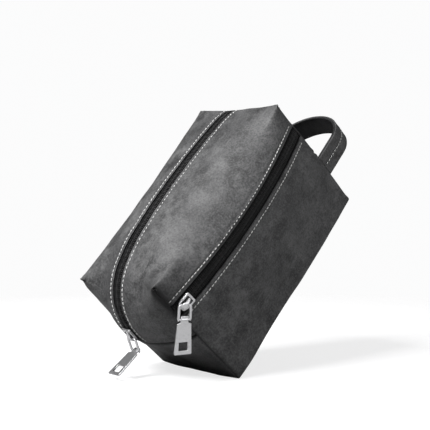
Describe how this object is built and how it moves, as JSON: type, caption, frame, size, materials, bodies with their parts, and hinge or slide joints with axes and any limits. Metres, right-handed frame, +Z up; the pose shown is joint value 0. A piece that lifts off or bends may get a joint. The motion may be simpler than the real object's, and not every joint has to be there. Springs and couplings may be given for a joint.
{
  "type": "shaving kit bag",
  "caption": "Boxed leather wash bag with two curved zips, hanging metal pulls and a looped leather handle at one end.",
  "frame": {"origin": "middle of the flat base, on its underside", "axes": "+X along the bag towards the handle, +Z up out of the base"},
  "size_m": [0.3737, 0.15, 0.1563],
  "materials": {
    "leather": "distressed matt grey, mottled",
    "lining": "plain woven",
    "zip_tape": "woven tape",
    "zip_coil": "moulded coil",
    "thread": "waxed thread",
    "nickel": "satin nickel plate"
  },
  "bodies": {
    "bag": {"wrap_panel": "leather", "flap_panel": "leather", "wrap_lining": "lining", "flap_lining": "lining", "left_zip_tape_outer": "zip_tape", "left_zip_coil_outer": "zip_coil", "left_zip_stitches_outer": "thread", "left_zip_tape_inner": "zip_tape", "left_zip_coil_inner": "zip_coil", "left_zip_stitches_inner": "thread", "right_zip_tape_upper": "zip_tape", "right_zip_coil_upper": "zip_coil", "right_zip_stitches_upper": "thread", "right_zip_tape_lower": "zip_tape", "right_zip_coil_lower": "zip_coil", "right_zip_stitches_lower": "thread", "handle_outer_layer": "leather", "handle_inner_layer": "leather", "handle_stitches": "thread"},
    "left_slider_body": {"left_slider": "nickel"},
    "left_link_body": {"left_link": "nickel"},
    "left_tab_body": {"left_tab": "nickel"},
    "right_slider_body": {"right_slider": "nickel"},
    "right_link_body": {"right_link": "nickel"},
    "right_tab_body": {"right_tab": "nickel"}
  },
  "joints": [
    {"name": "left_slider_travel", "type": "hinge", "parent": "bag", "child": "left_slider_body", "pos_m": [-0.07999, 0.009, 0.08798], "axis": [0, 1, 0], "range_deg": [0, 66]},
    {"name": "left_link_swing", "type": "hinge", "parent": "left_slider_body", "child": "left_link_body", "pos_m": [-0.14384, 0.009, 0.087], "axis": [0, 1, 0], "range_deg": [-22, 78]},
    {"name": "left_tab_swing", "type": "hinge", "parent": "left_link_body", "child": "left_tab_body", "pos_m": [-0.14999, 0.009, 0.07442], "axis": [0, -1, 0], "range_deg": [-66, 104]},
    {"name": "right_slider_travel", "type": "hinge", "parent": "bag", "child": "right_slider_body", "pos_m": [0, 0.379, 0.109], "axis": [0, 0, 1], "range_deg": [0, 25.5]},
    {"name": "right_link_swing", "type": "hinge", "parent": "right_slider_body", "child": "right_link_body", "pos_m": [-0.10954, -0.06967, 0.109], "axis": [-0.6609, 0.1614, 0.7329], "range_deg": [-2, 140]},
    {"name": "right_tab_swing", "type": "hinge", "parent": "right_link_body", "child": "right_tab_body", "pos_m": [-0.11972, -0.06819, 0.0995], "axis": [0.6609, -0.1614, -0.7329], "range_deg": [-136, 4]}
  ]
}
